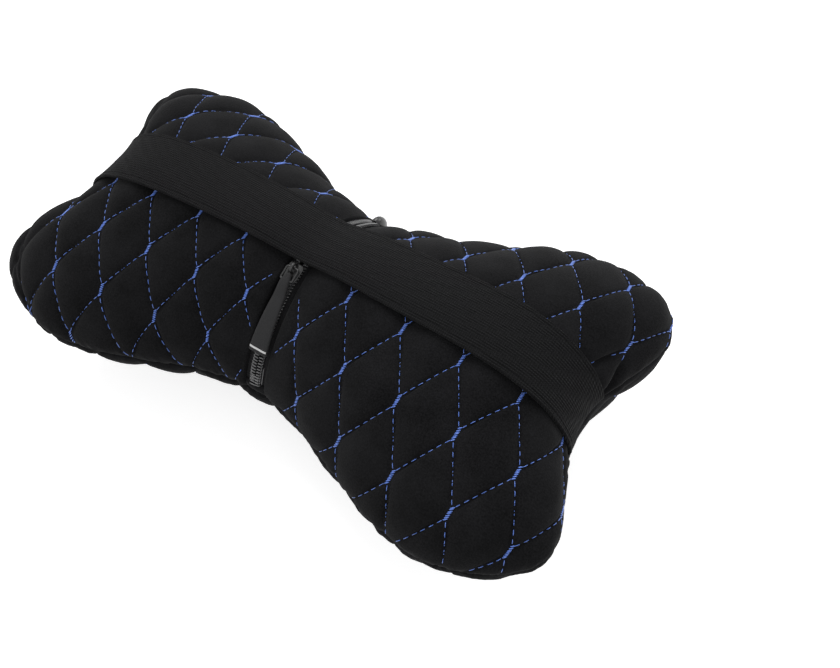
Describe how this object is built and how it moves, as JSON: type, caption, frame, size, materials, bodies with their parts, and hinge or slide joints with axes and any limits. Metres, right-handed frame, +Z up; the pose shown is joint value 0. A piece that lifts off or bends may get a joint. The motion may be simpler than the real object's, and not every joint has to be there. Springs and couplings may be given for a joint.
{
  "type": "car neck pillow",
  "caption": "Bone-shaped quilted neck pillow with an elastic band for a car headrest and a zip across its waist.",
  "frame": {"origin": "middle of the underside: the middle of the box in X and Y, at the surface that the front panel rests on", "axes": "+X along the long axis of the pillow, +Y across it from the zip's near end to its far end, +Z up through the back panel with the band"},
  "size_m": [0.3032, 0.1596, 0.0972],
  "materials": {
    "quilted_suede": "black suede-like microfibre, quilted in diamonds with blue thread",
    "fibre_fill": "white fibre filling in a plain lining",
    "elastic_webbing": "black ribbed elastic webbing",
    "zip_tape": "black woven tape",
    "zip_nylon": "black nylon",
    "zip_metal": "black painted zinc",
    "tab_rubber": "black soft plastic with a matte face"
  },
  "bodies": {
    "pillow": {"cover_front": "quilted_suede", "cover_back_left": "quilted_suede", "cover_back_right": "quilted_suede", "inner_pillow": "fibre_fill", "elastic_band": "elastic_webbing", "zip_tape_left": "zip_tape", "zip_tape_right": "zip_tape", "zip_coil_left": "zip_nylon", "zip_coil_right": "zip_nylon", "zip_stop_near": "zip_nylon", "zip_stop_far": "zip_nylon", "zip_slider": "zip_metal"},
    "puller": {"pull_link": "zip_metal", "pull_tab": "tab_rubber"}
  },
  "joints": [
    {"name": "tab_swing", "type": "hinge", "parent": "pillow", "child": "puller", "pos_m": [0, -0.00883, 0.08712], "axis": [-1, 0, 0], "range_deg": [0, 100]}
  ]
}
